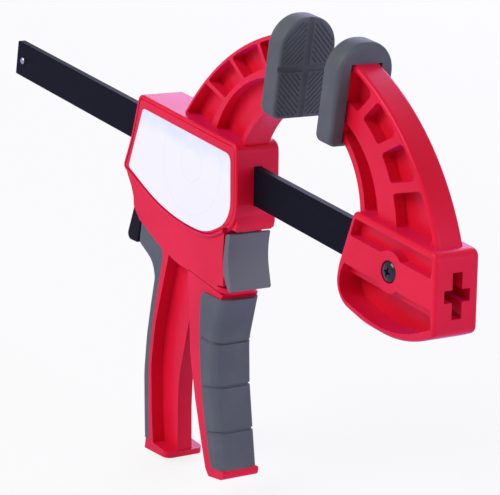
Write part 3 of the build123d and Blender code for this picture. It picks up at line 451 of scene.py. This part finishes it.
FINISHES = {
    Slot.RED: MouldedPlastic(
        "gloss_red",
        colour=(0.740, 0.008, 0.030),
        shade=(0.660, 0.005, 0.020),
        roughness=0.34,
        sheen=0.34,
        sheen_tint=(0.42, 0.06, 1.0),
        coat=0.04,
        specular=0.35,
        specular_tint=(0.95, 0.30, 0.80),
    ),
    Slot.GREY: MouldedPlastic(
        "satin_grey",
        colour=(0.120, 0.130, 0.150),
        shade=(0.100, 0.109, 0.128),
        roughness=0.42,
        sheen=0.1,
    ),
    Slot.BLACK: MouldedPlastic(
        "satin_black",
        colour=(0.006, 0.007, 0.010),
        shade=(0.004, 0.005, 0.007),
        roughness=0.45,
        specular=0.10,
    ),
    Slot.GRIP: Rubber(
        "grip_rubber",
        colour=(0.072, 0.086, 0.106),
        bloom=(0.098, 0.113, 0.136),
    ),
    Slot.PAD: Rubber(
        "pad_rubber",
        colour=(0.068, 0.078, 0.092),
        bloom=(0.100, 0.113, 0.132),
        roughness=0.58,
    ),
    Slot.BAR: DrawnSteel(
        "black_bar",
        colour=(0.004, 0.006, 0.011),
        worn=(0.010, 0.012, 0.018),
        metallic=0.0,
        roughness=0.46,
        specular=0.06,
    ),
    Slot.SCREW: DrawnSteel(
        "black_screw",
        colour=(0.010, 0.012, 0.018),
        worn=(0.03, 0.034, 0.045),
        metallic=0.0,
        roughness=0.16,
    ),
    Slot.STEEL: DrawnSteel(
        "ground_steel",
        colour=(0.48, 0.49, 0.51),
        worn=(0.62, 0.63, 0.65),
        metallic=1.0,
        roughness=0.34,
    ),
    Slot.ZINC: DrawnSteel(
        "zinc_plate",
        colour=(0.62, 0.63, 0.66),
        worn=(0.74, 0.75, 0.78),
        metallic=1.0,
        roughness=0.26,
    ),
    Slot.LABEL: BareLabel(
        "bare_label",
        white=(0.84, 0.85, 0.89),
        # This blue colours both the painted light at the label's top and the rings.
        blue=(0.60, 0.69, 0.88),
        pivot=(-69.0 * MM, 0.0, 0.0),
        top=15.4 * MM,
        rings=(9.5 * MM, 27.0 * MM),
    ),
}


class Paint:
    """Makes each finish once and hands it out."""

    def __init__(self) -> None:
        """Start with nothing mixed."""
        self.mixed: dict[Slot, bpy.types.Material] = {}

    def of(self, slot: Slot) -> bpy.types.Material:
        """Look up a slot's material, mixed at its first use.

        Args:
            slot: the slot.

        Returns:
            Its material.
        """
        if slot not in self.mixed:
            self.mixed[slot] = FINISHES[slot].build()
        return self.mixed[slot]

    def dress(self, piece: bpy.types.Object, slot: Slot) -> None:
        """Give a piece the one material of a slot."""
        piece.data.materials.clear()
        piece.data.materials.append(self.of(slot))


# ---- modelling bench --------------------------------------------------------------------
def clear_selection() -> None:
    """Leave object mode with nothing selected."""
    if bpy.context.object and bpy.context.object.mode != "OBJECT":
        bpy.ops.object.mode_set(mode="OBJECT")
    bpy.ops.object.select_all(action="DESELECT")


def take(piece: bpy.types.Object) -> None:
    """Make one piece the only selected and active one.

    Args:
        piece: the piece.
    """
    clear_selection()
    piece.select_set(True)
    bpy.context.view_layer.objects.active = piece


def rest_at_origin(piece: bpy.types.Object) -> None:
    """Move a piece's place, turn and scale into its mesh."""
    take(piece)
    bpy.ops.object.transform_apply(location=True, rotation=True, scale=True)


def edit_faces(piece: bpy.types.Object, wanted: Callable[[bmesh.types.BMFace], bool]) -> None:
    """Open a piece in edit mode with some of its faces selected.

    Args:
        piece: the piece, which is the active one.
        wanted: the test that picks a face.
    """
    bpy.ops.object.mode_set(mode="EDIT")
    bpy.ops.mesh.select_mode(type="FACE")
    mesh = bmesh.from_edit_mesh(piece.data)
    for face in mesh.faces:
        face.select_set(wanted(face))
    bmesh.update_edit_mesh(piece.data)


def cut(piece: bpy.types.Object, cutter: bpy.types.Object) -> None:
    """Cut one closed shape out of a piece, and put the cutter away.

    Args:
        piece: the piece to cut.
        cutter: the shape that is taken out of it.
    """
    take(piece)
    modifier = piece.modifiers.new("cut", "BOOLEAN")
    modifier.object = cutter
    modifier.operation = "DIFFERENCE"
    modifier.solver = "EXACT"
    bpy.ops.object.modifier_apply(modifier=modifier.name)
    bpy.data.objects.remove(cutter)


def join(pieces: Sequence[bpy.types.Object], name: str) -> bpy.types.Object:
    """Join several pieces into one.

    Args:
        pieces: the pieces; the first one takes in the rest.
        name: the joined piece's name.

    Returns:
        The joined piece.
    """
    clear_selection()
    for piece in pieces:
        piece.select_set(True)
    bpy.context.view_layer.objects.active = pieces[0]
    bpy.ops.object.join()
    pieces[0].name = name
    return pieces[0]


def smooth(piece: bpy.types.Object, degrees: float) -> None:
    """Shade a piece smooth except at edges sharper than an angle."""
    take(piece)
    bpy.ops.object.shade_smooth_by_angle(angle=math.radians(degrees))


def merged_copy(node: str, name: str, weld: float = 0.002 * MM) -> bpy.types.Object:
    """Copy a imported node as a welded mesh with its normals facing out.

    Args:
        node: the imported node's name.
        name: the copy's name.
        weld: points nearer than this become one.

    Returns:
        The copy.
    """
    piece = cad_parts[node].copy()
    piece.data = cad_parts[node].data.copy()
    piece.name = name
    piece.parent = None
    bpy.context.scene.collection.objects.link(piece)
    take(piece)
    bpy.ops.mesh.customdata_custom_splitnormals_clear()
    bpy.ops.object.mode_set(mode="EDIT")
    bpy.ops.mesh.select_all(action="SELECT")
    bpy.ops.mesh.remove_doubles(threshold=weld)
    bpy.ops.mesh.normals_make_consistent(inside=False)
    bpy.ops.object.mode_set(mode="OBJECT")
    return piece


def mount(piece: bpy.types.Object, body: Body, slot: Slot, paint: Paint, nodes: Iterable[str]) -> None:
    """Finish a piece.

    Args:
        piece: the piece.
        body: the body that it rides on.
        slot: the slot that it takes its finish from.
        paint: the finishes.
        nodes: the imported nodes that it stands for.
    """
    rest_at_origin(piece)
    paint.dress(piece, slot)
    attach(piece, body.value)
    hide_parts(*nodes)
    log.info("%s: %d faces on %s", piece.name, len(piece.data.polygons), body.value)


# ---- jaw pads ---------------------------------------------------------------------------
@dataclass
class JawPad:
    """A rubber pad: its clamping face has four fields of fine slanting grooves."""

    node: str
    body: Body
    outward: int
    crown: float = 16.0 * MM
    level_groove: float = 71.0 * MM
    groove_half: float = 2.5 * MM
    rim: float = 1.9 * MM
    pitch: float = 2.0 * MM
    depth: float = 0.55 * MM
    step: float = 0.2 * MM
    smooth_under: float = 28.0
    face: float = field(init=False)
    half_width: float = field(init=False)
    bottom: float = field(init=False)
    top: float = field(init=False)

    def __post_init__(self) -> None:
        """Take the pad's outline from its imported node."""
        low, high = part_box(self.node)
        self.face = high.x if self.outward > 0 else low.x
        self.half_width = high.y
        self.bottom = low.z
        self.top = high.z

    def in_field(self, across: float, height: float) -> bool:
        """Tell whether a point of the face lies in one of its four fields.

        Args:
            across: the point's distance from the pad's middle, along Y.
            height: its place along Z.

        Returns:
            True inside a field.
        """
        off_upright = abs(across) > self.groove_half
        off_level = abs(height - self.level_groove) > self.groove_half
        inside_width = abs(across) < self.half_width - self.rim
        inside_height = self.bottom + self.rim < height < self.top - self.rim
        past_side = abs(across) - (self.half_width - self.crown)
        past_top = height - (self.top - self.crown)
        in_corner = past_side > 0 and past_top > 0
        outside_crown = in_corner and math.hypot(past_side, past_top) > self.crown - self.rim
        return off_upright and off_level and inside_width and inside_height and not outside_crown

    def rod(self, start: tuple[float, float], end: tuple[float, float]) -> bpy.types.Object:
        """Make one square rod, turned on edge, that cuts a V groove.

        Args:
            start: Y and Z of the groove's one end.
            end: Y and Z of its other end.

        Returns:
            The rod.
        """
        middle = Vector((self.face, (start[0] + end[0]) / 2, (start[1] + end[1]) / 2))
        along = Vector((0, end[0] - start[0], end[1] - start[1]))
        turn = along.to_track_quat("Z", "X").to_euler()
        bpy.ops.mesh.primitive_cylinder_add(
            vertices=4, radius=self.depth, depth=along.length, location=middle, rotation=turn
        )
        return bpy.context.object

    def rods(self) -> list[bpy.types.Object]:
        """Make the grooves of all four fields, as rods.

        Returns:
            The rods, field by field.
        """
        rods = []
        level_pitch = self.pitch * math.sqrt(2)
        count = int(2 * (self.top - self.bottom) / self.pitch)
        for side in (-1, 1):
            for upper in (-1, 1):
                for number in range(-count, count):
                    rods += self.rods_along(side, upper, self.level_groove + number * level_pitch)
        return rods

    def rods_along(self, side: int, upper: int, level: float) -> list[bpy.types.Object]:
        """Make the rod along one slanting line, where it crosses one field.

        Args:
            side: -1 or 1, the field's side of the upright groove.
            upper: 1 above the level groove, -1 under it.
            level: the height at which the line meets the pad's middle.

        Returns:
            The rod, or nothing where the line misses the field.
        """
        crossed = []
        for number in range(int(self.half_width / self.step)):
            across = side * number * self.step
            height = level - side * upper * across
            in_half = upper * (height - self.level_groove) > 0
            if in_half and self.in_field(across, height):
                crossed.append((across, height))
        if len(crossed) * self.step < self.pitch:
            return []
        return [self.rod(crossed[0], crossed[-1])]

    def build(self, paint: Paint) -> None:
        """Make the pad.

        Args:
            paint: the finishes.
        """
        pad = merged_copy(self.node, f"{self.node}_ribbed")
        clear_selection()
        rods = self.rods()
        log.info("%s: %d grooves", self.node, len(rods))
        cutter = join(rods, f"{self.node}_rods")
        rest_at_origin(cutter)
        cut(pad, cutter)
        smooth(pad, self.smooth_under)
        mount(pad, self.body, Slot.PAD, paint, [self.node])


# ---- screws -----------------------------------------------------------------------------
@dataclass(frozen=True)
class CrossScrew:
    """The sizes of a screw with a domed head, a cross recess and a plain shank."""

    head_radius: float
    head_height: float
    shank_radius: float
    recess_half: float
    recess_width: float
    recess_depth: float
    recess_taper: float = 0.6
    cutter_height: float = 1.2
    rim_share: float = 0.22
    rings: int = 7
    head_sides: int = 48
    shank_sides: int = 32
    smooth_under: float = 32.0

    def head(self) -> bpy.types.Object:
        """Draw the dome up from a disc, ring by ring.

        Returns:
            The head, on the floor of its own frame.
        """
        rim = self.rim_share * self.head_height
        bpy.ops.mesh.primitive_cylinder_add(
            vertices=self.head_sides, radius=self.head_radius, depth=rim, location=(0, 0, rim / 2)
        )
        dome = bpy.context.object
        rest_at_origin(dome)
        edit_faces(dome, lambda face: face.normal.z > FACING)
        radius, height = self.head_radius, rim
        for number in range(1, self.rings):
            angle = math.radians(90.0 * number / self.rings)
            new_radius = self.head_radius * math.cos(angle)
            new_height = rim + (self.head_height - rim) * math.sin(angle)
            bpy.ops.mesh.extrude_region_move(TRANSFORM_OT_translate={"value": (0, 0, new_height - height)})
            ratio = new_radius / radius
            bpy.ops.transform.resize(value=(ratio, ratio, 1), center_override=(0, 0, new_height))
            radius, height = new_radius, new_height
        bpy.ops.object.mode_set(mode="OBJECT")
        return dome

    def recess_limb(self, angle: float) -> bpy.types.Object:
        """Make the cutter of one limb of the cross, narrower at its bottom.

        Args:
            angle: the limb's turn about the screw's axis.

        Returns:
            The cutter.
        """
        top = self.head_height * self.cutter_height
        bottom = self.head_height - self.recess_depth
        bpy.ops.mesh.primitive_cube_add(size=1, location=(0, 0, (top + bottom) / 2), rotation=(0, 0, angle))
        limb = bpy.context.object
        limb.scale = (2 * self.recess_half, self.recess_width, top - bottom)
        rest_at_origin(limb)
        edit_faces(limb, lambda face: face.normal.z < -FACING)
        taper = (self.recess_taper, self.recess_taper, 1)
        bpy.ops.transform.resize(value=taper, center_override=(0, 0, bottom))
        bpy.ops.object.mode_set(mode="OBJECT")
        return limb

    def build(self, name: str, seat: Point, shank_end: float, turn: float) -> bpy.types.Object:
        """Make the screw in its place across the bar.

        Args:
            name: the screw's name.
            seat: the middle of the face that its head bears on.
            shank_end: where its shank ends, along Y.
            turn: the cross's turn about the screw's axis.

        Returns:
            The screw.
        """
        clear_selection()
        head = self.head()
        for angle in (turn, turn + math.pi / 2):
            cut(head, self.recess_limb(angle))
        length = abs(shank_end - seat[1])
        bpy.ops.mesh.primitive_cylinder_add(
            vertices=self.shank_sides, radius=self.shank_radius, depth=length, location=(0, 0, -length / 2)
        )
        screw = join([head, bpy.context.object], name)
        outward = math.copysign(1, seat[1] - shank_end)
        across = Matrix.Rotation(math.radians(-90 * outward), 4, "X")
        screw.data.transform(Matrix.Translation(seat) @ across)
        smooth(screw, self.smooth_under)
        return screw


@dataclass(frozen=True)
class JawScrew:
    """The black screw through the fixed jaw and the bar, with its head on the near side."""

    turn: float = math.radians(-10)
    sizes: CrossScrew = CrossScrew(
        head_radius=5.3 * MM,
        head_height=2.6 * MM,
        shank_radius=3.0 * MM,
        recess_half=2.6 * MM,
        recess_width=1.3 * MM,
        recess_depth=1.8 * MM,
    )

    def build(self, paint: Paint) -> None:
        """Make the screw.

        Args:
            paint: the finishes.
        """
        low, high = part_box("jaw_screw")
        seat = ((low.x + high.x) / 2, low.y + self.sizes.head_height, (low.z + high.z) / 2)
        screw = self.sizes.build("jaw_screw_domed", seat, high.y, self.turn)
        mount(screw, Body.JAW, Slot.SCREW, paint, ["jaw_screw"])


@dataclass(frozen=True)
class CoverScrews:
    """The small screws that hold the side cover on the far side of the body."""

    apart: float = 8.0 * MM
    first_turn: float = math.radians(20)
    turn_step: float = math.radians(40)
    sizes: CrossScrew = CrossScrew(
        head_radius=3.0 * MM,
        head_height=1.6 * MM,
        shank_radius=1.5 * MM,
        recess_half=1.6 * MM,
        recess_width=0.75 * MM,
        recess_depth=1.1 * MM,
    )

    def build(self, paint: Paint) -> None:
        """Make the screws.

        Args:
            paint: the finishes.
        """
        low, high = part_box("cover_screws")
        screws = []
        for number, (x, z) in enumerate(self.places()):
            seat = (x, high.y - self.sizes.head_height, z)
            turn = self.first_turn + number * self.turn_step
            screws.append(self.sizes.build(f"cover_screw_{number}", seat, low.y, turn))
        joined = join(screws, "cover_screws_domed")
        mount(joined, Body.FRAME, Slot.ZINC, paint, ["cover_screws"])

    def places(self) -> list[tuple[float, float]]:
        """Find the screws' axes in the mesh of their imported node.

        Returns:
            X and Z of each screw.
        """
        groups: list[list[Vector]] = []
        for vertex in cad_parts["cover_screws"].data.vertices:
            for group in groups:
                if (vertex.co - group[0]).xz.length < self.apart:
                    group.append(vertex.co)
                    break
            else:
                groups.append([vertex.co])
        centres = []
        for group in groups:
            xs = [point.x for point in group]
            zs = [point.z for point in group]
            centres.append(((min(xs) + max(xs)) / 2, (min(zs) + max(zs)) / 2))
        return centres


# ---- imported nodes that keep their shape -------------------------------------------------
KEPT = {
    Slot.RED: ("body_housing", "side_cover", "fixed_jaw", "trigger_core"),
    Slot.GRIP: ("trigger_grip", "handle_backstrap"),
    Slot.GREY: ("release_trigger",),
    Slot.BLACK: ("rear_lever",),
    Slot.BAR: ("bar",),
    Slot.STEEL: (
        "drive_plate",
        "brake_plate",
        "drive_spring",
        "brake_spring",
        "rear_lever_spring",
        "trigger_pivot_pins",
        "release_pin",
        "rear_lever_pin",
        "bar_stop_pin",
    ),
    Slot.ZINC: ("jaw_nut",),
    Slot.LABEL: ("label_plate",),
}


def dress_nodes(paint: Paint) -> None:
    """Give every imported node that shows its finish.

    Args:
        paint: the finishes.
    """
    for slot, names in KEPT.items():
        for name in names:
            paint.dress(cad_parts[name], slot)
            log.info("%s: packed shape, %s", name, slot.value)


# ---- stage ------------------------------------------------------------------------------
@dataclass(frozen=True)
class Lamp:
    """A soft square lamp aimed at the clamp's middle."""

    name: str
    place: Point
    size: float
    power: float
    colour: Colour
    aim: Point = (0.0, 0.0, -0.04)

    def build(self) -> None:
        """Hang the lamp."""
        data = bpy.data.lights.new(self.name, "AREA")
        data.size = self.size
        data.energy = self.power
        data.color = self.colour
        lamp = bpy.data.objects.new(self.name, data)
        bpy.context.scene.collection.objects.link(lamp)
        turn = (Vector(self.aim) - Vector(self.place)).to_track_quat("-Z", "Y")
        lamp.matrix_world = Matrix.Translation(self.place) @ turn.to_matrix().to_4x4()


@dataclass(frozen=True)
class Camera:
    """A long lens, slightly rolled."""

    place: Point = (0.9032, -0.7055, 0.3689)
    azimuth: float = math.radians(52.85)
    elevation: float = math.radians(19.02)
    roll: float = math.radians(-6.93)
    lens: float = 171.1
    sensor: float = 36.0
    reach: float = 20.0

    def build(self) -> None:
        """Set up the camera."""
        data = bpy.data.cameras.new("camera")
        data.lens = self.lens
        data.sensor_width = self.sensor
        data.clip_end = self.reach
        camera = bpy.data.objects.new("camera", data)
        bpy.context.scene.collection.objects.link(camera)
        level = Vector((math.cos(self.azimuth), math.sin(self.azimuth), 0))
        back = Vector(
            (
                math.sin(self.azimuth) * math.cos(self.elevation),
                -math.cos(self.azimuth) * math.cos(self.elevation),
                math.sin(self.elevation),
            )
        )
        upright = back.cross(level)
        right = math.cos(self.roll) * level - math.sin(self.roll) * upright
        up = math.sin(self.roll) * level + math.cos(self.roll) * upright
        turn = Matrix((right, up, back)).transposed().to_4x4()
        camera.matrix_world = Matrix.Translation(self.place) @ turn
        bpy.context.scene.camera = camera


@dataclass(frozen=True)
class Floor:
    """A pale floor under the lowest point, which keeps the shadow."""

    drop: float = 1.5 * MM
    size: float = 8.0
    colour: Colour = (0.93, 0.93, 0.93)
    roughness: float = 0.9
    seen: Colour = (0.97, 0.97, 0.97)
    mirrored: Colour = (0.60, 0.50, 0.95)
    glow_share: float = 0.88

    def build(self) -> None:
        """Lay the floor."""
        low, _ = cad_box
        clear_selection()
        bpy.ops.mesh.primitive_plane_add(size=self.size, location=(0, 0, low.z - self.drop))
        floor = bpy.context.object
        floor.name = "floor"
        floor.data.materials.append(self.material())

    def material(self) -> bpy.types.Material:
        """Make the floor's material.

        Returns:
            A pale matt colour that glows where the camera or a mirroring surface sees it.
        """
        recipe = Recipe("pale_floor")
        recipe.set(Base_Color=self.colour, Roughness=self.roughness)
        path = recipe.node("ShaderNodeLightPath")
        in_mirror = Value(recipe, path.outputs["Is Glossy Ray"])
        in_camera = Value(recipe, path.outputs["Is Camera Ray"])
        tint = recipe.mix(in_mirror, self.seen, self.mirrored)
        glow = recipe.node("ShaderNodeEmission", None, {"Color": tint, "Strength": 1.0})
        share = (in_camera + in_mirror) * self.glow_share
        shaders = {1: recipe.shader.outputs["BSDF"], 2: glow.outputs[0]}
        blend = recipe.node("ShaderNodeMixShader", None, {0: share, **shaders})
        recipe.feed(recipe.output.inputs["Surface"], blend.outputs[0])
        return recipe.material


@dataclass(frozen=True)
class Sky:
    """Even pale light from all round, white where the camera sees it."""

    colour: Colour = (0.97, 0.98, 1.0)
    light: float = 0.42
    seen_extra: float = 0.55

    def build(self) -> None:
        """Light the world."""
        world = bpy.data.worlds.new("studio")
        world.use_nodes = True
        bpy.context.scene.world = world
        tree = world.node_tree
        tree.nodes.clear()
        path = tree.nodes.new("ShaderNodeLightPath")
        strength = tree.nodes.new("ShaderNodeMath")
        strength.operation = "MULTIPLY_ADD"
        strength.inputs[1].default_value = self.seen_extra
        strength.inputs[2].default_value = self.light
        light = tree.nodes.new("ShaderNodeBackground")
        light.inputs["Color"].default_value = (*self.colour, 1.0)
        output = tree.nodes.new("ShaderNodeOutputWorld")
        tree.links.new(path.outputs["Is Camera Ray"], strength.inputs[0])
        tree.links.new(strength.outputs[0], light.inputs["Strength"])
        tree.links.new(light.outputs[0], output.inputs["Surface"])


@dataclass(frozen=True)
class Stage:
    """The camera, a plain pale floor and soft studio light."""

    lamps: tuple[Lamp, ...] = (
        Lamp("key", place=(-0.35, -1.5, 1.15), size=1.1, power=24.0, colour=(1.0, 0.98, 0.97)),
        Lamp("side", place=(1.5, 0.5, 0.5), size=1.0, power=9.0, colour=(0.80, 0.72, 1.0)),
        Lamp("back", place=(-1.2, 1.4, 0.85), size=1.4, power=22.0, colour=(0.66, 0.60, 1.0)),
    )

    def build(self) -> None:
        """Set the stage."""
        for part in (Camera(), Floor(), Sky(), *self.lamps):
            part.build()
        bpy.context.scene.view_settings.view_transform = "Standard"


def main() -> None:
    """Build the stage, then dress the clamp piece by piece."""
    logging.basicConfig(level=logging.INFO, format="%(name)s: %(message)s")
    paint = Paint()
    Stage().build()
    dress_nodes(paint)
    JawPad("moving_jaw_pad", Body.FRAME, outward=1).build(paint)
    JawPad("fixed_jaw_pad", Body.JAW, outward=-1).build(paint)
    JawScrew().build(paint)
    CoverScrews().build(paint)


if __name__ == "__main__":
    main()
